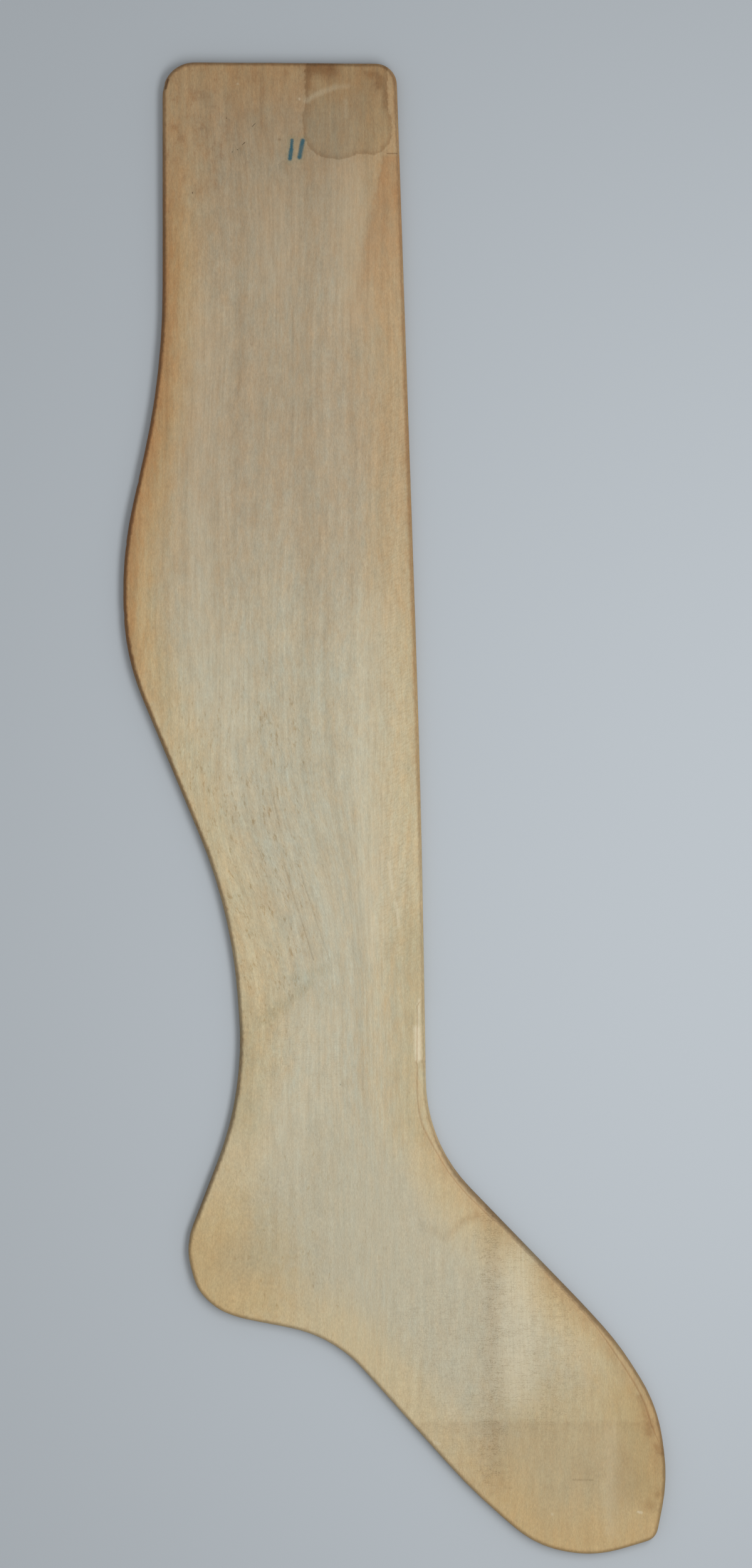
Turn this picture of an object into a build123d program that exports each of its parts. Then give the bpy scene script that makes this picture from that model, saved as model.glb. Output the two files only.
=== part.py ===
from build123d import *
import math
import os

# A flat wooden board cut to the outline of a stockinged leg and foot.
# A washed stocking is pulled over it, toe first, and dries on it to its true size and shape.
# The board is one piece of hardwood, sawn from a plank, with its edges rounded by hand.
# Sizes are in millimetres and angles in degrees.
# It lies on its back face. The top of the leg is towards +Y, the toe points to +X and -Y,
# and the front face is up, towards +Z. The origin is under the middle of its outline.

# The outline is drawn as straight lines that meet at the corners below,
# and every corner is then rounded with an arc that runs smoothly into both lines.

# Board
board_thickness = 6.0
edge_round = 1.6

# Corners with a radius of their own. The others are rounded as far as their lines allow:
# each arc takes this share of the shorter line beside it.
line_share = 0.46
top_back_radius = 16.0
top_shin_radius = 11.0
ankle_bend_radius = 80.0
toe_point_radius = 8.0

# Top of the leg
leg_length = 604.4
top_width = 119.3
top_fall = 0.8

# Back of the leg: heights above the heel, and distances in front of the straight back edge
calf_top_height = 446.0
high_calf_height = 354.5
high_calf_in = -20.5
low_calf_height = 301.5
low_calf_in = -19.5
shank_height = 171.0
shank_in = 35.0
low_ankle_height = 79.0
low_ankle_in = 42.0
heel_in = 11.5

# Front of the leg: height above the heel, and how far it stands in front of the top's corner
shin_height = 233.0
shin_lean = 12.7

# Foot: the line of the foot runs from the heel down to the point of the toe.
# Distances are along that line from the heel, and out from it towards the instep.
foot_length = 283.3
foot_slope = 31.9
heel_back_along = 17.0
heel_back_out = -16.0
heel_low_along = 31.0
heel_low_out = -19.0
heel_floor_along = 42.5
heel_floor_out = -17.0
arch_along = 89.0
arch_out = 0.7
ankle_bend_along = 77.3
ankle_bend_out = 109.5

# Toe: distances short of its point, and out from the line of the foot
instep_short = 92.5
instep_out = 81.2
toe_shoulder_short = 68.5
toe_shoulder_out = 74.2
toe_crown_short = 35.1
toe_crown_out = 58.1
toe_side_short = 11.0
toe_side_out = 29.0
toe_floor_short = 21.8
toe_floor_out = -24.6
toe_ball_short = 50.2
toe_ball_out = -35.6
sole_end_short = 92.7
sole_end_out = -29.0


def on_leg(forward, height):
    """A place on the leg, from the straight back edge and the height of the heel."""
    return Vector(forward, height)


def on_foot(along, out):
    """A place on the foot, along its line from the heel and out from it."""
    slope = math.radians(foot_slope)
    forward = along * math.cos(slope) + out * math.sin(slope)
    height = out * math.cos(slope) - along * math.sin(slope)
    return on_leg(heel_in + forward, height)


def on_toe(short, out):
    """A place on the toe, so far short of its point and out from the line of the foot."""
    return on_foot(foot_length - short, out)


def back_corners():
    """The corners down the back of the leg, over the calf and the ankle to the heel."""
    return [
        on_leg(0, calf_top_height),
        on_leg(high_calf_in, high_calf_height),
        on_leg(low_calf_in, low_calf_height),
        on_leg(shank_in, shank_height),
        on_leg(low_ankle_in, low_ankle_height),
        on_leg(heel_in, 0),
    ]


def sole_corners():
    """The corners round the heel and along the arch and the sole, up to the toe's point."""
    return [
        on_foot(heel_back_along, heel_back_out),
        on_foot(heel_low_along, heel_low_out),
        on_foot(heel_floor_along, heel_floor_out),
        on_foot(arch_along, arch_out),
        on_toe(sole_end_short, sole_end_out),
        on_toe(toe_ball_short, toe_ball_out),
        on_toe(toe_floor_short, toe_floor_out),
    ]


def instep_corners():
    """The corners from the toe's point back over the toes to the instep."""
    return [
        on_toe(toe_side_short, toe_side_out),
        on_toe(toe_crown_short, toe_crown_out),
        on_toe(toe_shoulder_short, toe_shoulder_out),
        on_toe(instep_short, instep_out),
    ]


def widest_radius(before, corner, after):
    """The radius whose arc takes the line share of the shorter line beside a corner."""
    line_in = corner - before
    line_out = after - corner
    turn = math.radians(line_in.get_angle(line_out))
    tangent = line_share * min(line_in.length, line_out.length)
    return tangent / math.tan(turn / 2)


def outline():
    """The closed outline of the board, with every corner rounded."""
    top_back = on_leg(0, leg_length)
    toe_point = on_toe(0, 0)
    ankle_bend = on_foot(ankle_bend_along, ankle_bend_out)
    shin = on_leg(top_width + shin_lean, shin_height)
    top_shin = on_leg(top_width, leg_length - top_fall)
    corners = [top_back, *back_corners(), *sole_corners(), toe_point]
    corners += [*instep_corners(), ankle_bend, shin, top_shin]
    radii = []
    for number, corner in enumerate(corners):
        after = corners[(number + 1) % len(corners)]
        radii.append(widest_radius(corners[number - 1], corner, after))
    radii[corners.index(top_back)] = top_back_radius
    radii[corners.index(toe_point)] = toe_point_radius
    radii[corners.index(ankle_bend)] = ankle_bend_radius
    radii[corners.index(top_shin)] = top_shin_radius
    return FilletPolyline(*corners, radius=radii, close=True)


def leg_board():
    """The whole board, with the edges of both faces rounded all the way round."""
    board = extrude(make_face(outline()), board_thickness)
    by_height = board.faces().sort_by(Axis.Z)
    edges = by_height[0].edges() + by_height[-1].edges()
    board = fillet(edges, edge_round)
    box = board.bounding_box()
    middle = box.center()
    board = Pos(-middle.X, -middle.Y, -box.min.Z) * board
    board.label = "leg_board"
    return board


os.makedirs("parts", exist_ok=True)
export_step(leg_board(), "parts/leg_board.step")
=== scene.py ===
"""A worn wooden sock stretcher: one flat board in the outline of a leg and foot, on a plain pale floor."""

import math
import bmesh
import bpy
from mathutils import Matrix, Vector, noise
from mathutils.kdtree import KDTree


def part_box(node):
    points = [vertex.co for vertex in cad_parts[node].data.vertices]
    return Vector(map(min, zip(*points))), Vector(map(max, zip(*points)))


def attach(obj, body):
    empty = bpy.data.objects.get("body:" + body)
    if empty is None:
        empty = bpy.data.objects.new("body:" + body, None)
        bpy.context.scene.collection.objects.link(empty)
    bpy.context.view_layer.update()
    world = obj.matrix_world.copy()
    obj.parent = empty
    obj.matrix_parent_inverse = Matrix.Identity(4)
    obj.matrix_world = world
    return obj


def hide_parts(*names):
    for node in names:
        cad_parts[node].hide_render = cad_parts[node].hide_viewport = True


bl_info = {
    "name": "Wooden Sock Stretcher",
    "version": (1, 0, 0),
    "blender": (4, 5, 0),
    "location": "3D View > Sidebar > Sock Stretcher",
    "description": "A worn wooden sock stretcher and the stage that it lies on",
    "category": "Add Mesh",
}

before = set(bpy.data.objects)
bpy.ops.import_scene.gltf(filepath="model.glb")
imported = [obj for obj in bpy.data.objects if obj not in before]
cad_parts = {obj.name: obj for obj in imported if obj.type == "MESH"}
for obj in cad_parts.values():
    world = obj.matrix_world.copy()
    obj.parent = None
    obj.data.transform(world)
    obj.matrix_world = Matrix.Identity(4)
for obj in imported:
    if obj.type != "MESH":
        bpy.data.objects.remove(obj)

BOARD_NODE = "leg_board"
LOW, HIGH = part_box(BOARD_NODE)
MIDDLE = (LOW + HIGH) / 2
THICKNESS = HIGH.z - LOW.z
MM = 0.001
MERGE = 0.01 * MM
# The Wave texture's own length of one wave at a scale of 1.
WAVE_UNIT = 0.314
# Shares of an edge's width at which its rounding gets a ring of vertices.
RING_SHARES = (0.0, 0.04, 0.14, 0.3, 0.5, 0.75, 1.0)

# Places on the board are in millimetres: X towards the toe, Y up the leg, from the middle of its outline.

# Width of the front edge's rounding along the shin and the instep, where it was shaved into a bevel:
# height up the board, and width at that height.
BEVEL_WIDTHS = (
    (-97.0, 1.6),
    (-101.0, 4.4),
    (-129.0, 5.0),
    (-159.0, 5.9),
    (-178.0, 3.7),
    (-192.0, 4.1),
    (-204.0, 3.5),
    (-214.0, 2.5),
    (-256.0, 2.8),
    (-280.0, 4.5),
    (-312.0, 4.8),
    (-330.0, 1.6),
)
# How dark the edge is painted along the back of the leg and the sole, for grime and for painted shade on this
# side, which faces away from the lamp: height, and darkness at that height.
GRIME_AND_SHADE_BEHIND = (
    (381.0, 0.5),
    (300.0, 0.8),
    (60.0, 0.84),
    (0.0, 0.74),
    (-100.0, 0.72),
    (-150.0, 0.84),
    (-200.0, 0.82),
    (-232.0, 0.38),
    (-381.0, 0.36),
)
# The same, grime and painted shade, along the shin, the instep and the toe: least on the shin, which faces the
# lamp, and most on the instep.
GRIME_AND_SHADE_BEFORE = (
    (381.0, 0.48),
    (280.0, 0.36),
    (180.0, 0.24),
    (60.0, 0.26),
    (-20.0, 0.36),
    (-150.0, 0.3),
    (-195.0, 0.72),
    (-250.0, 0.66),
    (-290.0, 0.5),
    (-381.0, 0.38),
)
# Knocks in the front edge: place, half of the length along the edge, and depth.
EDGE_KNOCKS = (
    (14.8, -129.8, 1.0, 0.8),
    (-116.4, 368.0, 1.8, 0.5),
    (-130.4, 165.7, 1.2, 0.35),
    (-135.0, 133.8, 1.0, 0.3),
    (-136.5, 98.5, 1.4, 0.4),
    (-104.0, -222.0, 1.0, 0.35),
    (98.0, -252.0, 1.6, 0.3),
)
# Pin pricks in the upper face: both ends of each, and its width.
PIN_PRICKS = (
    (-82.8, 334.9, -82.8, 334.9, 0.7),
    (-80.2, 336.2, -80.2, 336.2, 0.8),
    (-77.7, 338.3, -76.1, 340.0, 0.6),
    (-72.8, 347.8, -70.9, 349.7, 0.5),
    (-85.5, 352.6, -85.7, 352.0, 0.5),
    (-103.1, 314.4, -102.9, 313.4, 0.6),
    (-59.1, 328.4, -59.1, 328.4, 0.4),
    (-102.4, -220.3, -102.4, -220.3, 0.6),
    (-27.6, -141.3, -27.6, -141.3, 0.6),
)
# The two strokes of the size number: both ends, width and strength of the ink.
INK_STROKES = (
    (-52.2, 340.9, -52.6, 336.5, 1.6, 0.97),
    (-52.6, 336.5, -53.3, 331.5, 2.1, 1.0),
    (-46.8, 340.7, -48.4, 332.2, 2.2, 0.93),
)
# Where the ink has spread into the wood round the strokes.
INK_HALO = (
    (-52.2, 341.4, -53.4, 331.0, 4.2, 1.0),
    (-46.7, 341.2, -48.5, 331.6, 4.2, 0.9),
)
# Thin dark lines in the wood: both ends, width, strength.
DARK_LINES = (
    (-3.6, 334.1, 1.2, 334.1, 0.6, 0.6),
    (-116.7, 367.3, -115.5, 371.8, 1.0, 0.85),
    (-51.9, 267.0, -51.9, 181.0, 1.0, 0.14),
    (-61.8, 5.4, -58.3, -11.2, 0.7, 0.22),
    (-56.4, -29.0, -46.8, -59.5, 0.6, 0.22),
    (-46.8, -59.5, -41.3, -77.4, 0.7, 0.3),
    (-47.5, -34.0, -38.5, -62.0, 0.5, 0.2),
    (-38.5, -62.0, -32.5, -79.0, 0.5, 0.2),
    (91.2, -342.8, 101.3, -343.0, 0.9, 0.22),
    (-58.9, 341.3, -58.1, 341.3, 1.0, 0.4),
)
# Pale scratches and rubbed places: both ends, width, strength.
PALE_LINES = (
    (-45.1, 360.9, -39.9, 364.2, 2.4, 0.22),
    (-39.9, 364.2, -35.9, 365.9, 2.6, 0.22),
    (-35.9, 365.9, -30.1, 368.0, 2.6, 0.2),
    (-30.1, 368.0, -23.6, 368.6, 2.2, 0.12),
    (-24.9, 360.7, -24.9, 353.2, 2.2, 0.12),
    (-80.0, 369.6, -80.0, 369.6, 1.0, 0.35),
    (-48.5, 361.9, -48.5, 361.9, 1.2, 0.35),
    (80.5, -360.4, 80.5, -360.4, 1.2, 0.4),
    (124.4, -359.2, 126.0, -359.6, 1.2, 0.5),
    (20.4, -323.4, 22.8, -324.6, 1.4, 0.4),
    (-2.6, -28.0, -1.2, -41.0, 1.5, 0.42),
    (1.0, -48.5, 2.2, -60.0, 1.3, 0.46),
    (-10.4, -57.0, -11.3, -78.0, 3.6, 0.2),
    (-37.0, -34.0, -28.0, -70.0, 6.0, 0.2),
    (11.7, -112.5, 12.2, -127.5, 3.2, 0.85),
    (12.6, -98.0, 12.1, -112.0, 1.6, 0.45),
)
# Brown water lines: both ends, width, strength.
WATER_LINES = (
    (42.1, -207.9, 34.4, -211.4, 3.6, 0.3),
    (34.4, -211.4, 25.8, -219.1, 4.5, 0.2),
    (25.8, -219.1, 14.0, -212.6, 4.5, 0.16),
    (125.2, -300.6, 129.9, -313.0, 3.2, 0.4),
    (129.9, -313.0, 129.9, -318.5, 4.0, 0.45),
    (133.8, -326.2, 136.4, -329.4, 3.0, 0.45),
    (134.5, -349.5, 134.0, -350.5, 3.6, 0.4),
    (129.9, -355.6, 131.0, -356.5, 5.0, 0.4),
)
# Broad pale and dark streaks along the grain, and smudges:
# middle, half width, half length, softness of the edge and strength.
PALE_BANDS = (
    (-61.0, 290.0, 9.0, 30.0, 8.0, 0.16),
    (-22.0, 288.0, 8.0, 44.0, 7.0, 0.24),
    (-98.0, 150.0, 9.0, 110.0, 12.0, 0.2),
    (-82.0, 44.0, 9.0, 40.0, 12.0, 0.2),
    (-10.0, 20.0, 9.0, 90.0, 9.0, 0.2),
    # This pale streak on the foot is partly a painted sheen.
    (63.0, -262.0, 9.0, 42.0, 8.0, 0.34),
    (110.5, -343.0, 3.0, 30.0, 3.0, 0.16),
    (-66.0, -162.0, 20.0, 22.0, 14.0, 0.16),
    (-40.0, -130.0, 12.0, 30.0, 10.0, 0.2),
)
DARK_BANDS = (
    (-78.0, 182.0, 2.5, 78.0, 3.0, 0.16),
    (50.0, -276.0, 5.0, 74.0, 5.0, 0.2),
    (98.0, -337.0, 7.0, 6.0, 6.0, 0.16),
    (118.0, -343.0, 6.0, 14.0, 6.0, 0.16),
    (-89.6, -230.9, 16.0, 11.0, 9.0, 0.12),
)
# The border of the water run below the tide mark: its upper end, its lean for each
# millimetre down, and its length.
RUN_BORDER = (-5.2, 333.5, 0.195, 105.0)
# Brown blots inside the tide mark, in the same order of numbers.
CORNER_BLOTS = (
    (-37.0, 377.6, 8.0, 3.4, 3.4, 0.8),
    (-31.5, 374.0, 4.0, 4.0, 3.4, 0.3),
    (-43.6, 372.0, 1.6, 6.0, 1.6, 0.4),
    (-11.0, 374.4, 3.6, 1.6, 1.8, 0.55),
    (-7.2, 370.4, 2.4, 3.6, 1.8, 0.6),
    (-4.6, 362.0, 1.4, 5.0, 1.8, 0.35),
)
# Grey-green smudges by the ankle, and the soiled side of the toe: both ends, width, strength.
SMUDGES = (
    (-67.0, -108.0, -57.0, -101.0, 7.0, 0.3),
    (-57.0, -101.0, -43.0, -89.0, 5.0, 0.28),
    (-52.0, -87.0, -36.0, -83.0, 5.0, 0.18),
    (-84.0, -112.0, -80.0, -154.0, 26.0, 0.3),
    (9.0, -62.0, 12.0, -160.0, 20.0, 0.26),
    (60.0, -214.0, 112.0, -262.0, 26.0, 0.24),
    (117.0, -276.0, 131.0, -344.0, 26.0, 0.34),
)

# Camera and lamps
CAMERA_SENSOR = 36.0
VIEW_MIDDLE = (-9.4, 12.3)
WINDOW_PLACE = (0.3, -0.06, 0.64)


def srgb(red, green, blue):
    """A colour as a picture shows it, 0 to 255, as the linear colour that a shader takes."""
    linear = []
    for part in (red, green, blue):
        share = part / 255
        linear.append(share / 12.92 if share <= 0.04045 else ((share + 0.055) / 1.055) ** 2.4)
    return tuple(linear)


class BoardShape(bpy.types.PropertyGroup):
    """Sizes of the board's surface."""

    outline_step: bpy.props.FloatProperty(
        name="Outline step", description="Longest edge round the outline", default=1.5 * MM, unit="LENGTH"
    )
    face_step: bpy.props.FloatProperty(
        name="Face step", description="Size of the flat faces' mesh", default=4.0 * MM, unit="LENGTH"
    )
    rounding: bpy.props.FloatProperty(
        name="Rounding", description="Radius of the plain rounded edges", default=1.6 * MM, unit="LENGTH"
    )
    unevenness: bpy.props.FloatProperty(
        name="Unevenness", description="How much the rounding varies along the edge", default=0.18,
        subtype="FACTOR", min=0, max=0.5,
    )
    bevel_drop: bpy.props.FloatProperty(
        name="Bevel drop", description="Extra depth of the shaved bevel for each part of its extra width",
        default=0.27, subtype="FACTOR", min=0, max=0.5,
    )
    hollow: bpy.props.FloatProperty(
        name="Hollow", description="Deepest hollow left by the plane in the faces", default=0.12 * MM,
        unit="LENGTH",
    )
    prick_depth: bpy.props.FloatProperty(
        name="Prick depth", description="Depth of the pin pricks", default=0.5 * MM, unit="LENGTH"
    )


class BoardColours(bpy.types.PropertyGroup):
    """Colours of the board's wood and marks."""

    heart: bpy.props.FloatVectorProperty(
        name="Middle wood", description="Wood in the middle of the faces", default=srgb(187, 178, 152),
        subtype="COLOR", min=0, max=1,
    )
    straw: bpy.props.FloatVectorProperty(
        name="Outer wood", description="Wood nearer to the edges", default=srgb(197, 180, 143),
        subtype="COLOR", min=0, max=1,
    )
    pale: bpy.props.FloatVectorProperty(
        name="Scraped wood", description="Fresh wood in scratches and scrapes", default=srgb(218, 206, 176),
        subtype="COLOR", min=0, max=1,
    )
    ochre: bpy.props.FloatVectorProperty(
        name="Yellowed wood", description="What the yellowed heel, toe and calf keep of the wood's colour",
        default=(0.97, 0.84, 0.63), subtype="COLOR", min=0, max=1,
    )
    handled: bpy.props.FloatVectorProperty(
        name="Handled wood", description="What the wood that hands have browned keeps of its colour",
        default=(0.84, 0.64, 0.50), subtype="COLOR", min=0, max=1,
    )
    # Colour of the dark edge line: grime, and painted shade where the edge turns under.
    grime_and_shade: bpy.props.FloatVectorProperty(
        name="Grime", description="What the dark edges keep of the wood's colour", default=(0.22, 0.19, 0.17),
        subtype="COLOR", min=0, max=1,
    )
    aged: bpy.props.FloatVectorProperty(
        name="Aged wood", description="What the leg above the calf keeps of the wood's colour",
        default=(0.89, 0.79, 0.73), subtype="COLOR", min=0, max=1,
    )
    top: bpy.props.FloatVectorProperty(
        name="Top of the leg", description="What the top of the leg keeps of the aged wood's colour",
        default=(0.82, 0.72, 0.62), subtype="COLOR", min=0, max=1,
    )
    water: bpy.props.FloatVectorProperty(
        name="Water stain", description="What a brown water line keeps of the wood's colour",
        default=(0.62, 0.47, 0.33), subtype="COLOR", min=0, max=1,
    )
    ink: bpy.props.FloatVectorProperty(
        name="Ink", description="Blue ink of the size number", default=srgb(14, 86, 102), subtype="COLOR",
        min=0, max=1,
    )


class StageSettings(bpy.types.PropertyGroup):
    """The floor, the light and the camera."""

    floor: bpy.props.FloatVectorProperty(
        name="Floor", description="Colour of the plain floor", default=srgb(186, 193, 199), subtype="COLOR",
        min=0, max=1,
    )
    floor_size: bpy.props.FloatProperty(
        name="Floor size", description="Length of each side of the floor", default=6.0, unit="LENGTH"
    )
    sky: bpy.props.FloatProperty(
        name="Sky", description="Strength of the even light from all round", default=0.5
    )
    window: bpy.props.FloatProperty(
        name="Window", description="Power of the soft lamp over the shin's side, in watts", default=3.0
    )
    window_size: bpy.props.FloatVectorProperty(
        name="Window size", description="Length of that lamp along the board, and its width",
        default=(0.8, 0.26), size=2, unit="LENGTH",
    )
    lens: bpy.props.FloatProperty(
        name="Lens", description="Focal length of the camera", default=85.0, unit="CAMERA"
    )
    view_height: bpy.props.FloatProperty(
        name="View height", description="How much of the board's length direction the picture takes in",
        default=0.8003, unit="LENGTH",
    )


# Mesh of the board


def cut_outline(bm, step):
    """Fill a mesh with the board's outline, cut from the frame's solid at half its thickness."""
    bm.from_mesh(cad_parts[BOARD_NODE].data)
    bmesh.ops.remove_doubles(bm, verts=bm.verts, dist=MERGE)
    whole = bm.verts[:] + bm.edges[:] + bm.faces[:]
    bmesh.ops.bisect_plane(bm, geom=whole, dist=MERGE, plane_co=MIDDLE, plane_no=(0, 0, 1))
    away = [vert for vert in bm.verts if abs(vert.co.z - MIDDLE.z) > MERGE]
    bmesh.ops.delete(bm, geom=away, context="VERTS")
    bmesh.ops.remove_doubles(bm, verts=bm.verts, dist=step / 2)
    for edge in bm.edges[:]:
        cuts = math.ceil(edge.calc_length() / step) - 1
        if cuts > 0:
            bmesh.ops.subdivide_edges(bm, edges=[edge], cuts=cuts)
    for _ in range(2):
        bmesh.ops.smooth_vert(bm, verts=bm.verts, factor=0.5, use_axis_x=True, use_axis_y=True)


def walk(bm):
    """The outline's vertices in order, anticlockwise seen from the front."""
    start = bm.verts[:][0]
    edge = start.link_edges[0]
    vert = edge.other_vert(start)
    order = [start]
    while vert != start:
        order.append(vert)
        edge = vert.link_edges[0] if vert.link_edges[1] == edge else vert.link_edges[1]
        vert = edge.other_vert(vert)
    area = sum(a.co.cross(b.co).z for a, b in zip(order, order[1:] + order[:1]))
    return order if area > 0 else order[::-1]


def between(pairs, where):
    """A value read off a list of (place, value) pairs, easing from each pair to the next."""
    for (place, value), (next_place, next_value) in zip(pairs, pairs[1:]):
        if place >= where >= next_place:
            share = (place - where) / (place - next_place)
            return value + (next_value - value) * share * share * (3 - 2 * share)
    return pairs[0][1]


class Rim:
    """The board's outline: its points, the way in from each, and how the edge is worked there."""

    def __init__(self, order, shape):
        self.points = [vert.co.xy for vert in order]
        self.inward = []
        self.width = []
        self.drop = []
        self.shaved = []
        self.grime_and_shade = []
        for number, point in enumerate(self.points):
            along = self.points[(number + 1) % len(order)] - self.points[number - 1]
            self.inward.append(Vector((-along.y, along.x)).normalized())
            uneven = 1 + shape.unevenness * noise.noise(Vector((point.x, point.y, 0)) / (18 * MM))
            width = shape.rounding * uneven
            facing = self.inward[-1].x
            bevel = between(BEVEL_WIDTHS, point.y / MM) * MM if facing < -0.2 else shape.rounding
            extra = max(0, bevel - shape.rounding)
            self.width.append(width + extra * (0.8 + 0.2 * uneven))
            self.drop.append(min(width + extra * shape.bevel_drop, THICKNESS / 2))
            self.shaved.append(min(1, extra / (2 * MM)))
            self.grime_and_shade.append(between(GRIME_AND_SHADE_BEHIND if facing > 0 else GRIME_AND_SHADE_BEFORE, point.y / MM))
        self.knock()

    def knock(self):
        """Dent the points at each knock."""
        self.dent = [0.0] * len(self.points)
        for x, y, half, depth in EDGE_KNOCKS:
            place = Vector((x, y)) * MM
            nearest = min(self.points, key=lambda point: (point - place).length)
            for number, point in enumerate(self.points):
                away = (point - nearest).length / (half * MM)
                self.dent[number] += depth * MM * math.exp(-away * away)

    def front(self, number, share, beyond=0.0):
        """A place on the front edge: share is 0 at the outline and 1 where the flat face starts."""
        power = 2.0 - 0.6 * self.shaved[number]
        fall = 1 - (1 - (1 - share) ** power) ** (1 / power)
        inset = self.dent[number] * (1 - 0.5 * share) + share * self.width[number] + beyond
        place = self.points[number] + self.inward[number] * inset
        return Vector((place.x, place.y, HIGH.z - fall * self.drop[number]))

    def back(self, number, share, rounding):
        """A place on the back edge, which is rounded evenly."""
        fall = 1 - math.sqrt(1 - (1 - share) ** 2)
        place = self.points[number] + self.inward[number] * share * rounding
        return Vector((place.x, place.y, LOW.z + fall * rounding))


def lift(bm, face, layers, place, share, distance, keep=False):
    """Extrude a face, put each new vertex at place(number), and note where on the edge it is."""
    number, arris, depth = layers
    made = bmesh.ops.extrude_face_region(bm, geom=[face])["geom"]
    if not keep:
        bmesh.ops.delete(bm, geom=[face], context="FACES_ONLY")
    for item in made:
        if isinstance(item, bmesh.types.BMVert):
            item.co = place(item[number])
            item[arris] = 1 - share
            item[depth] = distance(item[number])
    return next(item for item in made if isinstance(item, bmesh.types.BMFace))


def worked_edges(bm, order, shape, layers):
    """Raise the outline into a thin solid with rounded edges. Returns the rim and the two flat faces."""
    number = layers[0]
    rim = Rim(order, shape)
    for place, vert in enumerate(order):
        vert[number] = place
        vert[layers[1]] = 1.0
    back = bm.faces.new(order)
    front = lift(bm, back, layers, lambda n: rim.front(n, 0), 0.0, lambda n: 0.0, keep=True)
    for vert in order:
        vert.co = rim.back(vert[number], 0, shape.rounding)
    for share in RING_SHARES[1:]:
        front = lift(
            bm, front, layers, lambda n: rim.front(n, share), share, lambda n: share * rim.width[n]
        )
        back = lift(
            bm, back, layers, lambda n: rim.back(n, share, shape.rounding), share,
            lambda n: share * shape.rounding,
        )
    support = shape.rounding / 2
    front = lift(
        bm, front, layers, lambda n: rim.front(n, 1, support), 1.0, lambda n: rim.width[n] + support
    )
    return rim, front, back


def cut_grid(bm, face, step):
    """Cut a flat face into a grid. Returns its vertices."""
    geom = [face] + face.edges[:] + face.verts[:]
    for axis in (Vector((0, 1, 0)), Vector((1, 0, 0))):
        low = LOW.dot(axis)
        high = HIGH.dot(axis)
        for count in range(1, math.ceil((high - low) / step)):
            geom = bmesh.ops.bisect_plane(
                bm, geom=geom, dist=MERGE, plane_co=axis * (low + count * step), plane_no=axis
            )["geom"]
    return [item for item in geom if isinstance(item, bmesh.types.BMVert)]


def prick(bm, verts, shape, pricked):
    """Push each pin prick into the front face as a small pit, and note its bottom."""
    for x, y, far_x, far_y, width in PIN_PRICKS:
        ends = Vector((x, y, 0)) * MM, Vector((far_x, far_y, 0)) * MM
        middle = (ends[0] + ends[1]) / 2
        middle.z = HIGH.z
        along = (ends[1] - ends[0]) / 2
        verts = [vert for vert in verts if vert.is_valid]
        nearest = min(verts, key=lambda vert: (vert.co - middle).length)
        nearest.co = middle
        pit = bmesh.ops.bevel(
            bm, geom=[nearest], offset=width * MM / 2, offset_type="OFFSET", segments=1, profile=0.5,
            affect="VERTICES", material=-1,
        )["faces"]
        for vert in pit[0].verts:
            side = (vert.co - middle).normalized()
            vert.co = middle + side * width * MM / 2 + along * (1 if side.dot(along) > 0 else -1)
        bottom = bmesh.ops.poke(bm, faces=pit)["verts"]
        bmesh.ops.translate(bm, verts=bottom, vec=(0, 0, -shape.prick_depth))
        for vert in bottom:
            vert[pricked] = 1.0


def plane_hollows(bm, shape):
    """Leave shallow hollows in both faces, as a hand plane does, always into the wood."""
    reach = Vector((1 / 0.055, 1 / 0.19, 0))
    for vert in bm.verts:
        side = 1 if vert.co.z > MIDDLE.z else -1
        seed = Vector((vert.co.x * reach.x, vert.co.y * reach.y, side * 7.0))
        hollow = shape.hollow * (0.5 + 0.5 * noise.noise(seed))
        vert.co.z -= side * max(0.0, hollow) * (1 - 0.5 * abs(noise.noise(seed * 2)))


def board_mesh(shape):
    """The whole board as a closed mesh, with what the material needs to know of its edges."""
    bm = bmesh.new()
    cut_outline(bm, shape.outline_step)
    number = bm.verts.layers.int.new("outline_number")
    arris = bm.verts.layers.float.new("arris")
    depth = bm.verts.layers.float.new("edge_distance")
    grime_and_shade = bm.verts.layers.float.new("grime_and_shade")
    shaved = bm.verts.layers.float.new("shaved")
    pricked = bm.verts.layers.float.new("pricked")
    order = walk(bm)
    layers = (number, arris, depth)
    rim, front, back = worked_edges(bm, order, shape, layers)
    tree = KDTree(len(rim.points))
    for place, point in enumerate(rim.points):
        tree.insert((point.x, point.y, 0), place)
    tree.balance()
    front_verts = cut_grid(bm, front, shape.face_step)
    flat = front_verts + cut_grid(bm, back, shape.face_step)
    for vert in flat:
        vert[arris] = 0
        vert[depth] = tree.find((vert.co.x, vert.co.y, 0))[2]
    for vert in bm.verts:
        nearest = tree.find((vert.co.x, vert.co.y, 0))[1]
        vert[grime_and_shade] = rim.grime_and_shade[nearest]
        vert[shaved] = rim.shaved[nearest]
    prick(bm, front_verts, shape, pricked)
    plane_hollows(bm, shape)
    bmesh.ops.recalc_face_normals(bm, faces=bm.faces)
    for face in bm.faces:
        face.smooth = True
    bm.verts.layers.int.remove(number)
    mesh = bpy.data.meshes.new("sock_stretcher_board")
    bm.to_mesh(mesh)
    bm.free()
    return mesh


# Shader nodes

# Where a Mix node keeps its colour sockets.
COLOUR_MIX = {"Factor": 0, "A": 6, "B": 7, "Result": 2}
# The grain's noises: size across and along the grain in millimetres, detail and roughness.
GRAIN_NOISES = {
    "Bands": (7.0, 260.0, 3.0, 0.6),
    "Lines": (1.1, 34.0, 3.0, 0.65),
    "Fibres": (0.5, 1.9, 2.0, 0.8),
    "Mottle": (3.0, 13.0, 4.0, 0.8),
    "Tone": (4.0, 12.0, 4.0, 0.7),
}


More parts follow.
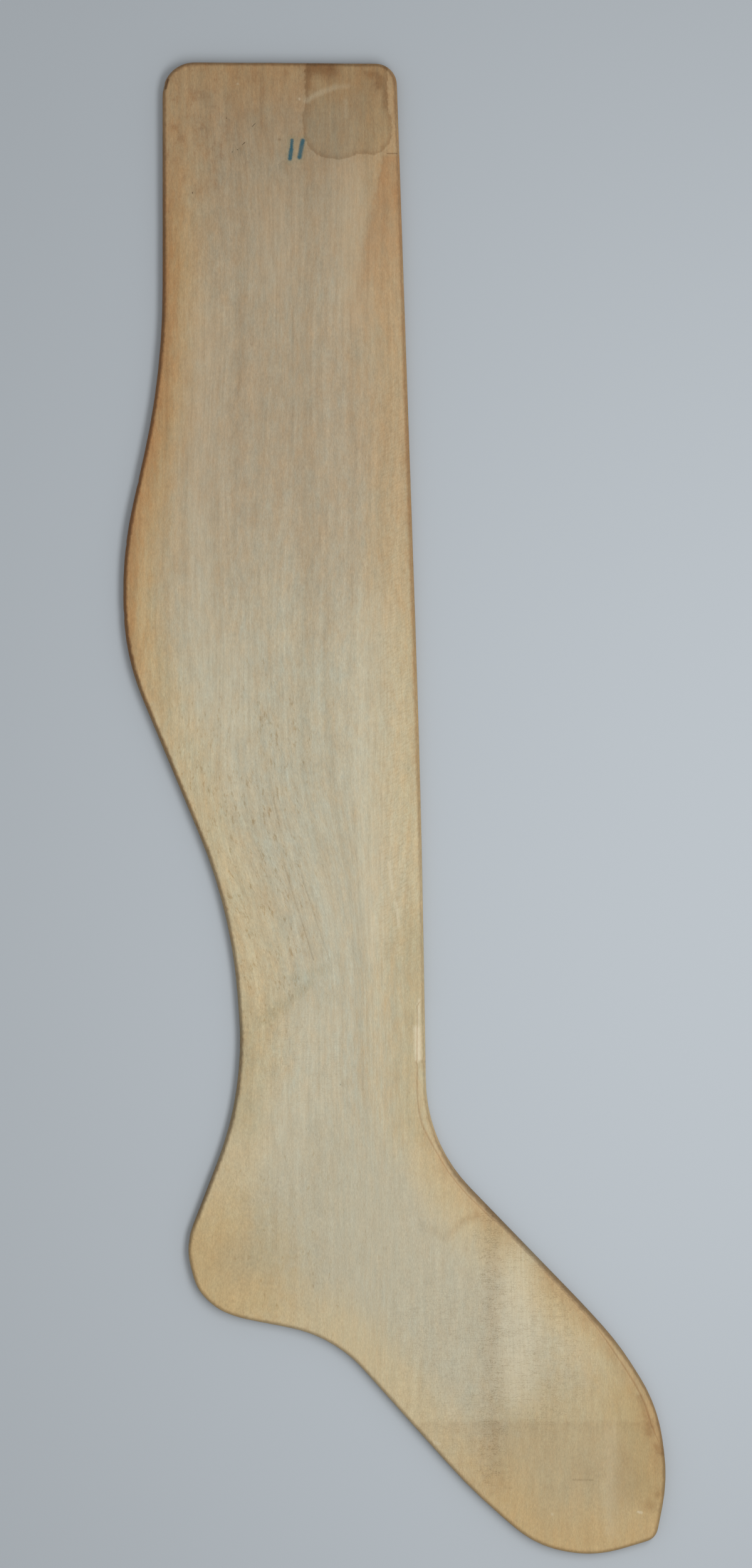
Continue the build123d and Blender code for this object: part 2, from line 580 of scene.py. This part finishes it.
class Graph:
    """A node tree, with short ways to add a node, feed its sockets and take its result."""

    def __init__(self, tree):
        self.tree = tree

    def add(self, kind, **settings):
        node = self.tree.nodes.new(kind)
        for name, value in settings.items():
            setattr(node, name, value)
        return node

    def feed(self, socket, value):
        if isinstance(value, bpy.types.NodeSocket):
            self.tree.links.new(value, socket)
        else:
            socket.default_value = value

    def math(self, operation, *values):
        node = self.add("ShaderNodeMath", operation=operation)
        for socket, value in zip(node.inputs, values):
            self.feed(socket, value)
        return node.outputs[0]

    def vector(self, operation, *values, scale=None):
        node = self.add("ShaderNodeVectorMath", operation=operation)
        for socket, value in zip(node.inputs, values):
            self.feed(socket, value)
        if scale is not None:
            self.feed(node.inputs["Scale"], scale)
        number = operation in ("DOT_PRODUCT", "LENGTH", "DISTANCE")
        return node.outputs["Value" if number else "Vector"]

    def spread(self, value, low, high, to_low=0.0, to_high=1.0, smooth=True):
        kind = "SMOOTHSTEP" if smooth else "LINEAR"
        node = self.add("ShaderNodeMapRange", interpolation_type=kind, clamp=not smooth)
        for name, given in zip(("Value", "From Min", "From Max", "To Min", "To Max"),
                               (value, low, high, to_low, to_high)):
            self.feed(node.inputs[name], given)
        return node.outputs["Result"]

    def noise(self, place, scale=1.0, detail=2.0, roughness=0.5, distortion=0.0):
        node = self.add("ShaderNodeTexNoise")
        values = {"Vector": place, "Scale": scale, "Detail": detail, "Roughness": roughness,
                  "Distortion": distortion}
        for name, value in values.items():
            self.feed(node.inputs[name], value)
        return node.outputs["Fac"]

    def stretch(self, place, across, along, through=None, shift=(0, 0, 0)):
        """Coordinates in which one unit is so many millimetres across, along and through the board."""
        node = self.add("ShaderNodeMapping")
        self.feed(node.inputs["Vector"], place)
        node.inputs["Location"].default_value = shift
        node.inputs["Scale"].default_value = (1 / across, 1 / along, 1 / (through or across))
        return node.outputs["Vector"]

    def blend(self, kind, share, first, second):
        node = self.add("ShaderNodeMix", data_type="RGBA", blend_type=kind)
        self.feed(node.inputs[COLOUR_MIX["Factor"]], share)
        self.feed(node.inputs[COLOUR_MIX["A"]], first)
        self.feed(node.inputs[COLOUR_MIX["B"]], second)
        return node.outputs[COLOUR_MIX["Result"]]


def new_group(name, inputs, outputs):
    """A shader node group with named sockets. Returns its graph, its inputs and what it puts out."""
    kinds = {"number": "NodeSocketFloat", "vector": "NodeSocketVector"}
    tree = bpy.data.node_groups.new(name, "ShaderNodeTree")
    for label, kind in inputs.items():
        tree.interface.new_socket(name=label, in_out="INPUT", socket_type=kinds[kind])
    for label, kind in outputs.items():
        tree.interface.new_socket(name=label, in_out="OUTPUT", socket_type=kinds[kind])
    graph = Graph(tree)
    given = graph.add("NodeGroupInput").outputs
    result = graph.add("NodeGroupOutput").inputs
    return graph, given, result


def use(graph, tree, **values):
    """Place a node group, feed its inputs and return its outputs."""
    node = graph.add("ShaderNodeGroup", node_tree=tree)
    for name, value in values.items():
        graph.feed(node.inputs[name.replace("_", " ")], value)
    return node.outputs


def stroke_group():
    """A mask along a straight stroke between two places."""
    inputs = {"Place": "vector", "Start": "vector", "End": "vector", "Width": "number", "Softness": "number"}
    graph, given, result = new_group("Stroke", inputs, {"Mask": "number"})
    along = graph.vector("SUBTRACT", given["End"], given["Start"])
    away = graph.vector("SUBTRACT", given["Place"], given["Start"])
    reach = graph.math("MAXIMUM", graph.vector("DOT_PRODUCT", along, along), 0.001)
    share = graph.math("DIVIDE", graph.vector("DOT_PRODUCT", away, along), reach)
    share = graph.math("MINIMUM", graph.math("MAXIMUM", share, 0.0), 1.0)
    distance = graph.vector("DISTANCE", away, graph.vector("SCALE", along, scale=share))
    half = graph.math("MULTIPLY", given["Width"], 0.5)
    soft = graph.math("MULTIPLY", half, given["Softness"])
    low = graph.math("SUBTRACT", half, soft)
    high = graph.math("ADD", half, soft)
    graph.feed(result["Mask"], graph.spread(distance, low, high, 1.0, 0.0))
    return graph.tree


def blot_group():
    """Distance from the outline of a rounded blot, negative inside it. Core is its half size less Corner."""
    inputs = {"Place": "vector", "Middle": "vector", "Core": "vector", "Corner": "number"}
    graph, given, result = new_group("Blot", inputs, {"Distance": "number"})
    away = graph.vector("ABSOLUTE", graph.vector("SUBTRACT", given["Place"], given["Middle"]))
    beyond = graph.vector("MAXIMUM", graph.vector("SUBTRACT", away, given["Core"]), (0, 0, 0))
    distance = graph.math("SUBTRACT", graph.vector("LENGTH", beyond), given["Corner"])
    graph.feed(result["Distance"], distance)
    return graph.tree


def flow_group():
    """The grain's own coordinates: it runs up the leg, and leans towards the shin above the ankle."""
    graph, given, result = new_group("Grain flow", {"Place": "vector"}, {"Grain": "vector"})
    split = graph.add("ShaderNodeSeparateXYZ")
    graph.feed(split.inputs[0], given["Place"])
    across, along, through = split.outputs
    down = graph.spread(along, 25.0, -105.0, 0.0, 24.0)
    back = graph.math("MULTIPLY", graph.spread(across, 6.0, -38.0), graph.spread(across, -112.0, -58.0, 0.3, 1.0))
    lean = graph.math("MULTIPLY", down, back)
    wander = graph.noise(graph.stretch(given["Place"], 70.0, 190.0), detail=1.0)
    wander = graph.math("MULTIPLY_ADD", wander, 14.0, -7.0)
    across = graph.math("ADD", graph.math("SUBTRACT", across, lean), wander)
    join = graph.add("ShaderNodeCombineXYZ")
    for socket, value in zip(join.inputs, (across, along, through)):
        graph.feed(socket, value)
    graph.feed(result["Grain"], join.outputs[0])
    return graph.tree


def grain_group():
    """Noises along the grain, each 0 to 1 about a half, from growth bands to fibres, and dark flecks."""
    inputs = {"Grain": "vector", "Fleck density": "number"}
    outputs = {name: "number" for name in (*GRAIN_NOISES, "Flecks")}
    graph, given, result = new_group("Grain", inputs, outputs)
    for name, (across, along, detail, roughness) in GRAIN_NOISES.items():
        place = graph.stretch(given["Grain"], across, along)
        graph.feed(result[name], graph.noise(place, detail=detail, roughness=roughness))
    fleck = graph.noise(graph.stretch(given["Grain"], 1.7, 5.5), detail=3.0, roughness=0.65)
    low = graph.math("SUBTRACT", 0.68, graph.math("MULTIPLY", given["Fleck density"], 0.13))
    graph.feed(result["Flecks"], graph.spread(fleck, low, graph.math("ADD", low, 0.16)))
    return graph.tree


def tide_group():
    """A dried water mark: its inside, and the line that the water left along its rim."""
    inputs = {"Distance": "number", "Rim": "number", "Sharpness": "number"}
    graph, given, result = new_group("Tide mark", inputs, {"Inside": "number", "Line": "number"})
    edge = graph.math("MULTIPLY", given["Sharpness"], -1.0)
    inside = graph.spread(given["Distance"], edge, given["Sharpness"], 1.0, 0.0)
    line = graph.spread(given["Distance"], graph.math("MULTIPLY", given["Rim"], -1.0), 0.0)
    graph.feed(result["Inside"], inside)
    graph.feed(result["Line"], graph.math("MULTIPLY", inside, line))
    return graph.tree


class WoodMaterial:
    """The board's material, built up layer by layer as the wood was: grain, age, water, wear and ink, with some
    painted light and shade.
    """

    def __init__(self, name, colours):
        self.colours = colours
        self.material = bpy.data.materials.new(name)
        self.material.use_nodes = True
        tree = self.material.node_tree
        tree.nodes.clear()
        self.graph = graph = Graph(tree)
        self.groups = {
            "stroke": stroke_group(),
            "blot": blot_group(),
            "flow": flow_group(),
            "grain": grain_group(),
            "tide": tide_group(),
        }
        place = graph.add("ShaderNodeTexCoord").outputs["Object"]
        self.place = graph.vector("SCALE", place, scale=1 / MM)
        self.flat = graph.vector("MULTIPLY", self.place, (1, 1, 0))
        split = graph.add("ShaderNodeSeparateXYZ")
        graph.feed(split.inputs[0], self.place)
        self.x, self.y, self.z = split.outputs
        self.front = graph.math("GREATER_THAN", self.z, MIDDLE.z / MM)
        self.arris = self.attribute("arris")
        self.grime_and_shade = self.attribute("grime_and_shade")
        self.shaved = self.attribute("shaved")
        self.from_edge = graph.math("MULTIPLY", self.attribute("edge_distance"), 1 / MM)
        self.wandering = self.shaken(12.0, 24.0, 5.0)
        self.colour = None

    def attribute(self, name):
        return self.graph.add("ShaderNodeAttribute", attribute_name=name).outputs["Fac"]

    def tint(self, mask, keeps):
        """Let the masked wood keep only a share of its colour."""
        self.colour = self.graph.blend("MULTIPLY", mask, self.colour, (*keeps, 1))

    def cover(self, mask, colour):
        """Turn the masked wood to another colour."""
        self.colour = self.graph.blend("MIX", mask, self.colour, (*colour, 1))

    def shaken(self, amount, size, seed=0.0):
        """Flat coordinates that wander by so many millimetres, so that marks aren't ruled."""
        graph = self.graph
        place = graph.stretch(self.flat, size, size, shift=(seed, seed, 0))
        node = graph.add("ShaderNodeTexNoise", noise_dimensions="3D")
        graph.feed(node.inputs["Vector"], place)
        split = graph.add("ShaderNodeSeparateColor")
        graph.feed(split.inputs[0], node.outputs["Color"])
        offset = [graph.math("MULTIPLY_ADD", part, amount * 2, -amount) for part in split.outputs[:2]]
        join = graph.add("ShaderNodeCombineXYZ")
        for socket, part in zip(join.inputs, offset):
            graph.feed(socket, part)
        return graph.vector("ADD", self.flat, join.outputs[0])

    def blot(self, x, y, half_x, half_y, corner, place=None):
        """Distance from the outline of a blot, in millimetres."""
        core = (half_x - corner, half_y - corner, 1)
        return use(
            self.graph, self.groups["blot"], Place=place or self.flat, Middle=(x, y, 0), Core=core,
            Corner=corner,
        )["Distance"]

    def patch(self, x, y, half_x, half_y, soft, place=None):
        """A mask that fades out over so many millimetres at the edge of a patch."""
        distance = self.blot(x, y, half_x, half_y, min(half_x, half_y), place)
        return self.graph.spread(distance, -soft, soft, 1.0, 0.0)

    def strokes(self, marks, place, softness):
        """One mask of several straight strokes, each as strong as its last number says."""
        mask = 0.0
        for x, y, far_x, far_y, width, strength in marks:
            stroke = use(
                self.graph, self.groups["stroke"], Place=place, Start=(x, y, 0), End=(far_x, far_y, 0),
                Width=width, Softness=softness,
            )["Mask"]
            stroke = self.graph.math("MULTIPLY", stroke, strength)
            mask = self.graph.math("MAXIMUM", stroke, mask)
        return mask

    def on_front(self, mask, strength=1.0):
        graph = self.graph
        return graph.math("MULTIPLY", graph.math("MULTIPLY", mask, self.front), strength)

    def vary(self, noise, slope, strength=1.0):
        """Let the colour follow a noise: slope is its change, channel by channel, from 0 to 1."""
        low = [1 - part / 2 for part in slope]
        high = [1 + part / 2 for part in slope]
        factor = self.graph.blend("MIX", noise, (*low, 1), (*high, 1))
        self.colour = self.graph.blend("MULTIPLY", strength, self.colour, factor)

    def strongest(self, *patches):
        """The strongest of several wandering patches, each given as its numbers and a strength."""
        mask = 0.0
        for *numbers, strength in patches:
            patch = self.graph.math("MULTIPLY", self.patch(*numbers, self.wandering), strength)
            mask = self.graph.math("MAXIMUM", patch, mask)
        return mask

    def wood(self):
        """The bare wood: greyish in the middle, straw towards the edges, browned where it is held."""
        graph = self.graph
        wander = graph.noise(graph.stretch(self.place, 22.0, 60.0), detail=2.0)
        inset = graph.math("MULTIPLY_ADD", wander, 24.0, graph.math("SUBTRACT", self.from_edge, 12.0))
        straw = graph.spread(inset, 4.0, 36.0, 1.0, 0.0)
        self.colour = graph.blend("MIX", straw, (*self.colours.heart, 1), (*self.colours.straw, 1))
        patchy = graph.noise(graph.stretch(self.place, 3.0, 14.0), detail=3.0, roughness=0.7)
        places = self.strongest(
            (-128, 190, 42, 130, 30, 1.0), (40, -195, 35, 45, 14, 0.55), (108, -282, 46, 66, 16, 0.7),
        )
        depth = graph.math("MULTIPLY_ADD", patchy, 14.0, graph.math("SUBTRACT", self.from_edge, 7.0))
        yellowed = graph.math("MULTIPLY", graph.spread(depth, 4.0, 26.0, 1.0, 0.0), places)
        ends = self.strongest((-92, -236, 42, 34, 20, 0.68), (112, -345, 72, 60, 26, 0.8))
        self.tint(graph.math("MAXIMUM", graph.math("MULTIPLY", yellowed, 0.7), ends), self.colours.ochre)
        held = graph.math("MULTIPLY", graph.spread(depth, 0.0, 13.0, 1.0, 0.0), places)
        self.tint(graph.math("MULTIPLY", held, 0.7), self.colours.handled)

    def grain(self):
        """Growth bands, lines, fibres, mottling and flecks along the flow of the grain."""
        graph = self.graph
        flow = use(graph, self.groups["flow"], Place=self.place)["Grain"]
        dense = self.strongest((-78, -25, 46, 105, 26, 1.0), (-40, -215, 55, 62, 26, 0.7))
        dense = graph.math("MAXIMUM", dense, 0.3)
        grain = use(graph, self.groups["grain"], Grain=flow, Fleck_density=dense)
        self.lines = grain["Lines"]
        self.fibres = grain["Fibres"]
        self.mottle = grain["Mottle"]
        self.flecks = graph.math("MULTIPLY", grain["Flecks"], graph.math("MULTIPLY_ADD", dense, 0.55, 0.15))
        leg = graph.spread(self.y, -200.0, -130.0, 0.5, 1.0)
        self.vary(grain["Bands"], (0.32, 0.38, 0.46), leg)
        self.vary(grain["Lines"], (0.26, 0.32, 0.38), leg)
        self.vary(grain["Fibres"], (0.56, 0.58, 0.58))
        self.vary(grain["Mottle"], (0.52, 0.60, 0.68), graph.math("POWER", leg, 0.5))
        self.vary(grain["Tone"], (0.22, -0.16, -0.52), leg)
        self.tint(self.flecks, (0.70, 0.59, 0.44))

    def bands(self):
        """The broad pale and dark streaks that run down the leg and the foot, broken up by the grain; the pale
        one on the foot is partly a painted sheen.
        """
        graph = self.graph
        place = self.shaken(4.0, 26.0)
        streaky = graph.spread(self.lines, 0.3, 0.7, 0.55, 1.45, smooth=False)
        for x, y, half_x, half_y, soft, strength in PALE_BANDS:
            mask = graph.math("MULTIPLY", self.patch(x, y, half_x, half_y, soft, place), streaky)
            self.cover(graph.math("MULTIPLY", mask, strength), self.colours.pale)
        for x, y, half_x, half_y, soft, strength in DARK_BANDS:
            mask = graph.math("MULTIPLY", self.patch(x, y, half_x, half_y, soft, place), streaky)
            self.tint(graph.math("MULTIPLY", mask, strength), (0.62, 0.48, 0.36))

    def age(self):
        """The leg is browner above the calf, and darker and blotched towards its top."""
        graph = self.graph
        cloud = graph.noise(graph.stretch(self.place, 30.0, 40.0), detail=3.0)
        height = graph.math("ADD", self.y, graph.math("MULTIPLY_ADD", cloud, 70.0, -35.0))
        self.tint(graph.spread(height, 35.0, 190.0), self.colours.aged)
        self.tint(graph.spread(height, 262.0, 392.0), self.colours.top)
        blotch = graph.noise(graph.stretch(self.place, 7.0, 9.0), detail=4.0, roughness=0.75)
        blotch = graph.spread(blotch, 0.46, 0.72)
        corner = self.strongest((-108, 352, 26, 40, 18, 0.5), (-60, 378, 64, 10, 10, 0.34))
        self.tint(graph.math("MULTIPLY", blotch, corner), (0.66, 0.48, 0.36))

    def water_marks(self):
        """The tide mark at the top corner, the one across the toe, and loose brown lines."""
        graph = self.graph
        keeps = self.colours.water
        place = self.shaken(1.6, 14.0, 3.0)
        body = self.blot(-24.6, 366.0, 21.0, 22.0, 12.0, place)
        left = self.blot(-30.0, 349.0, 16.5, 17.5, 15.0, place)
        right = self.blot(-14.5, 347.0, 13.0, 13.5, 11.0, place)
        shape = graph.math("SMOOTH_MIN", body, graph.math("SMOOTH_MIN", left, right, 2.0), 3.0)
        corner = use(graph, self.groups["tide"], Distance=shape, Rim=3.4, Sharpness=0.5)
        self.tint(self.on_front(corner["Inside"], 0.7), (0.84, 0.84, 0.80))
        self.tint(self.on_front(corner["Line"], 0.4), keeps)
        for x, y, half_x, half_y, soft, strength in CORNER_BLOTS:
            self.tint(self.on_front(self.patch(x, y, half_x, half_y, soft, place), strength), keeps)
        self.water_run(place)
        toe = self.blot(95.0, -365.0, 90.0, 52.0, 14.0, place)
        toe = use(graph, self.groups["tide"], Distance=toe, Rim=9.0, Sharpness=1.6)
        self.tint(self.on_front(toe["Inside"], 0.15), keeps)
        self.tint(self.on_front(toe["Line"], 0.06), keeps)
        self.tint(self.on_front(self.strokes(WATER_LINES, place, 0.9)), keeps)

    def water_run(self, place):
        """Where water ran from the tide mark down along the shin: a slanting border, warmer beyond it."""
        graph = self.graph
        start_x, start_y, lean, length = RUN_BORDER
        split = graph.add("ShaderNodeSeparateXYZ")
        graph.feed(split.inputs[0], place)
        down = graph.math("SUBTRACT", start_y, split.outputs[1])
        border = graph.math("SUBTRACT", start_x, graph.math("MULTIPLY", down, lean))
        beyond = graph.math("SUBTRACT", split.outputs[0], border)
        fade = graph.spread(down, length * 0.3, length, 1.0, 0.0)
        fade = graph.math("MULTIPLY", fade, graph.spread(down, -1.0, 2.0))
        soft = graph.spread(down, 0.0, length, 0.8, 8.0)
        inside = graph.math("MULTIPLY", graph.spread(beyond, graph.math("MULTIPLY", soft, -1.0), soft), fade)
        self.tint(self.on_front(inside, 0.7), (0.93, 0.76, 0.62))
        near = graph.spread(graph.math("ABSOLUTE", beyond), 0.0, graph.math("ADD", soft, 1.0), 1.0, 0.0)
        self.tint(self.on_front(graph.math("MULTIPLY", near, fade), 0.16), self.colours.water)

    def figure(self):
        """Lace-like flecks down the shin and fine cross ripples in the foot."""
        graph = self.graph
        turned = graph.add("ShaderNodeVectorRotate", rotation_type="Z_AXIS")
        graph.feed(turned.inputs["Vector"], self.place)
        turned.inputs["Angle"].default_value = math.radians(-32)
        lace = graph.noise(graph.stretch(turned.outputs[0], 3.0, 0.9), detail=2.0)
        strip = self.patch(2.0, 70.0, 12.0, 150.0, 10.0)
        strip = graph.math("MULTIPLY", strip, graph.spread(lace, 0.42, 0.72, 0.0, 0.26))
        self.tint(strip, (0.66, 0.55, 0.40))
        place = self.shaken(1.8, 6.0, 9.0)
        wave = graph.add("ShaderNodeTexWave", wave_type="BANDS", bands_direction="Y")
        graph.feed(wave.inputs["Vector"], place)
        wave.inputs["Scale"].default_value = WAVE_UNIT / 1.25
        wave.inputs["Distortion"].default_value = 2.2
        wave.inputs["Detail"].default_value = 2.0
        wave.inputs["Detail Scale"].default_value = 1.6
        ripple = graph.spread(wave.outputs["Fac"], 0.4, 1.0)
        broken = graph.noise(graph.stretch(self.place, 4.0, 1.6), detail=1.0)
        ripple = graph.math("MULTIPLY", ripple, graph.spread(broken, 0.36, 0.6))
        places = self.strongest(
            (50, -272, 7, 74, 6, 1.0), (74, -262, 26, 60, 16, 0.65), (25, -290, 30, 50, 16, 0.45),
            (-45, -130, 30, 26, 14, 0.35),
        )
        self.ripple = graph.math("MULTIPLY", ripple, places)
        self.tint(graph.math("MULTIPLY", self.ripple, 0.5), (0.56, 0.50, 0.42))

    def smudges(self):
        """Grey-green smudges by the ankle, and soil on the side of the toe."""
        mask = self.strokes(SMUDGES, self.shaken(3.0, 8.0, 5.0), 0.9)
        self.tint(self.on_front(mask), (0.60, 0.62, 0.54))

    def scratches(self):
        """Pale scratches, dark checks in the wood and the scraped length of the shin's edge."""
        place = self.shaken(0.6, 2.5, 7.0)
        pale = self.graph.math("MULTIPLY", self.strokes(PALE_LINES, place, 0.9),
                               self.graph.spread(self.fibres, 0.3, 0.7, 0.75, 1.15))
        self.cover(self.on_front(pale), self.colours.pale)
        self.tint(self.on_front(self.strokes(DARK_LINES, place, 0.9)), (0.35, 0.27, 0.18))

    def edges(self):
        """Grime and painted shade along the edges: a dark line where they turn under, painted darkest on the side
        away from the lamp, and an orange line of grime beside it.
        """
        graph = self.graph
        uneven = graph.noise(graph.stretch(self.place, 3.0, 3.0), detail=3.0)
        depth = graph.math("ADD", self.from_edge, graph.math("MULTIPLY_ADD", uneven, 1.2, -0.6))
        high = graph.math("MULTIPLY", graph.spread(self.y, -60.0, 20.0, 0.3, 1.0),
                          graph.spread(self.y, 320.0, 190.0, 0.4, 1.0))
        beside = graph.math("MULTIPLY", graph.spread(depth, 1.3, 2.8, 1.0, 0.0), high)
        self.tint(beside, (0.79, 0.67, 0.55))
        bevel = graph.math("MULTIPLY", self.shaved, self.front)
        self.bevel_ridge(bevel)
        # The dark line widens over the instep's bevel, for grime and for painted shade.
        foot = graph.spread(self.y, -165.0, -198.0)
        instep = graph.math("MULTIPLY", foot, graph.spread(self.y, -290.0, -255.0, -0.6, 1.0))
        reach = graph.math("MULTIPLY_ADD", bevel, instep, graph.math("MULTIPLY_ADD", self.grime_and_shade, 1.4, 1.6))
        # The dark line itself: grime, and painted shade where the edge turns under.
        line = graph.math("MULTIPLY", graph.spread(depth, 0.8, reach, 1.0, 0.0), self.grime_and_shade)
        # Less dark outer line towards the shin: rubbed wear, and painted light on the side that faces the lamp.
        shin = graph.math("MULTIPLY", graph.spread(self.x, -60.0, -10.0, 0.25, 0.7),
                          graph.math("SUBTRACT", 1.0, foot))
        rubbed_and_lit = graph.spread(depth, 0.3, 1.2, shin, 0.0)
        line = graph.math("MULTIPLY", line, graph.math("SUBTRACT", 1.0, rubbed_and_lit))
        self.tint(line, self.colours.grime_and_shade)

    def bevel_ridge(self, bevel):
        """A thin red-brown line where the shaved bevel meets the flat, and a painted highlight that makes the
        bevel paler.
        """
        graph = self.graph
        # Painted highlight: the shaved bevel is made a little paler.
        bevel_highlight = graph.math("MULTIPLY", graph.spread(self.arris, 0.15, 0.45), bevel)
        self.cover(graph.math("MULTIPLY", bevel_highlight, 0.06), self.colours.pale)
        rise = graph.spread(self.arris, 0.0, 0.12)
        ridge = graph.math("MULTIPLY", rise, graph.spread(self.arris, 0.12, 0.32, 1.0, 0.0))
        self.tint(graph.math("MULTIPLY", ridge, graph.math("MULTIPLY", bevel, 0.5)), (0.62, 0.46, 0.33))

    def number(self):
        """Pin pricks, and the size number in blue ink on the front face alone."""
        # The pits are painted dark: painted shade in the pin pricks.
        self.tint(self.graph.spread(self.attribute("pricked"), 0.0, 0.6), (0.22, 0.18, 0.14))
        place = self.shaken(0.5, 2.4, 11.0)
        halo = self.on_front(self.strokes(INK_HALO, place, 0.7), 0.3)
        self.tint(halo, (0.62, 0.92, 0.98))
        patchy = self.graph.spread(self.mottle, 0.35, 0.65, 0.8, 1.0)
        ink = self.graph.math("MULTIPLY", self.strokes(INK_STROKES, place, 0.55), patchy)
        self.cover(self.on_front(ink), self.colours.ink)

    def finish(self):
        """Join the colour, the sheen and the fine relief in one shader."""
        graph = self.graph
        shader = graph.add("ShaderNodeBsdfPrincipled")
        graph.feed(shader.inputs["Base Color"], self.colour)
        shader.inputs["Specular IOR Level"].default_value = 0.35
        rough = graph.spread(self.lines, 0.2, 0.8, 0.5, 0.64, smooth=False)
        graph.feed(shader.inputs["Roughness"], rough)
        relief = graph.math("MULTIPLY_ADD", self.fibres, -0.35, 1.0)
        relief = graph.math("MULTIPLY_ADD", self.lines, -0.35, relief)
        relief = graph.math("MULTIPLY_ADD", self.flecks, -0.5, relief)
        relief = graph.math("MULTIPLY_ADD", self.ripple, -0.3, relief)
        bump = graph.add("ShaderNodeBump")
        bump.inputs["Strength"].default_value = 0.5
        bump.inputs["Distance"].default_value = 0.12 * MM
        graph.feed(bump.inputs["Height"], relief)
        graph.feed(shader.inputs["Normal"], bump.outputs["Normal"])
        output = graph.add("ShaderNodeOutputMaterial")
        graph.feed(output.inputs["Surface"], shader.outputs["BSDF"])
        return self.material


def board_material(colours):
    """The board's wood, as the picture shows it."""
    wood = WoodMaterial("worn_hardwood", colours)
    wood.wood()
    wood.grain()
    wood.bands()
    wood.age()
    wood.figure()
    wood.smudges()
    wood.water_marks()
    wood.scratches()
    wood.edges()
    wood.number()
    return wood.finish()


# Stage


def plain_material(name, colour):
    """A plain matt material for the floor."""
    material = bpy.data.materials.new(name)
    material.use_nodes = True
    shader = material.node_tree.nodes["Principled BSDF"]
    shader.inputs["Base Color"].default_value = (*colour, 1)
    shader.inputs["Roughness"].default_value = 0.9
    shader.inputs["Specular IOR Level"].default_value = 0.1
    return material


def make_floor(settings):
    """A wide flat floor that the board lies on."""
    bm = bmesh.new()
    bmesh.ops.create_grid(bm, x_segments=2, y_segments=2, size=settings.floor_size / 2)
    bmesh.ops.translate(bm, verts=bm.verts, vec=(0, 0, LOW.z))
    mesh = bpy.data.meshes.new("floor")
    bm.to_mesh(mesh)
    bm.free()
    mesh.materials.append(plain_material("pale_floor", settings.floor))
    floor = bpy.data.objects.new("floor", mesh)
    bpy.context.scene.collection.objects.link(floor)


def make_window(settings):
    """A long area lamp beside and above the board, that faces its middle."""
    light = bpy.data.lights.new("window", "AREA")
    light.shape = "RECTANGLE"
    light.size, light.size_y = settings.window_size
    light.energy = settings.window
    lamp = bpy.data.objects.new("window", light)
    lamp.location = WINDOW_PLACE
    lamp.rotation_euler = (MIDDLE - lamp.location).to_track_quat("-Z", "Y").to_euler()
    bpy.context.scene.collection.objects.link(lamp)


def make_sky(strength):
    """Even light from all round."""
    world = bpy.data.worlds.new("soft_sky")
    world.use_nodes = True
    sky = world.node_tree.nodes["Background"]
    sky.inputs["Color"].default_value = (1, 1, 1, 1)
    sky.inputs["Strength"].default_value = strength
    bpy.context.scene.world = world


def make_camera(settings):
    """A camera straight above, that takes in the same stretch of floor as the picture."""
    camera = bpy.data.cameras.new("camera")
    camera.sensor_fit = "VERTICAL"
    camera.sensor_height = CAMERA_SENSOR
    camera.lens = settings.lens
    height = settings.view_height * settings.lens / CAMERA_SENSOR
    view = bpy.data.objects.new("camera", camera)
    view.location = (VIEW_MIDDLE[0] * MM, VIEW_MIDDLE[1] * MM, HIGH.z + height)
    bpy.context.scene.collection.objects.link(view)
    bpy.context.scene.camera = view


# Operators, panel and registration


class LegBoard(bpy.types.Operator):
    """Make the one wooden board that the sock stretcher is"""

    bl_idname = "sock_stretcher.leg_board"
    bl_label = "Leg board"

    def execute(self, context):
        board = bpy.data.objects.new("worn_leg_board", board_mesh(context.scene.board_shape))
        board.data.materials.append(board_material(context.scene.board_colours))
        context.scene.collection.objects.link(board)
        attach(board, "root")
        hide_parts(BOARD_NODE)
        return {"FINISHED"}


class Stage(bpy.types.Operator):
    """Make the floor, the lamps, the sky and the camera"""

    bl_idname = "sock_stretcher.stage"
    bl_label = "Stage"

    def execute(self, context):
        settings = context.scene.stage_settings
        context.scene.view_settings.view_transform = "Standard"
        make_floor(settings)
        make_sky(settings.sky)
        make_window(settings)
        make_camera(settings)
        return {"FINISHED"}


class StretcherPanel(bpy.types.Panel):
    """Sizes, colours and steps of the sock stretcher"""

    bl_idname = "VIEW3D_PT_sock_stretcher"
    bl_label = "Sock Stretcher"
    bl_space_type = "VIEW_3D"
    bl_region_type = "UI"
    bl_category = "Sock Stretcher"

    def draw(self, context):
        steps = (
            (LegBoard, (context.scene.board_shape, context.scene.board_colours)),
            (Stage, (context.scene.stage_settings,)),
        )
        for operator, groups in steps:
            box = self.layout.box()
            for group in groups:
                for name in group.__annotations__:
                    box.prop(group, name)
            box.operator(operator.bl_idname)


CLASSES = (BoardShape, BoardColours, StageSettings, LegBoard, Stage, StretcherPanel)
SETTINGS = {"board_shape": BoardShape, "board_colours": BoardColours, "stage_settings": StageSettings}


def register():
    for item in CLASSES:
        bpy.utils.register_class(item)
    for name, group in SETTINGS.items():
        setattr(bpy.types.Scene, name, bpy.props.PointerProperty(type=group))


def unregister():
    for name in SETTINGS:
        delattr(bpy.types.Scene, name)
    for item in reversed(CLASSES):
        bpy.utils.unregister_class(item)


def main():
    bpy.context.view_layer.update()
    register()
    bpy.ops.sock_stretcher.leg_board()
    bpy.ops.sock_stretcher.stage()


if __name__ == "__main__":
    main()
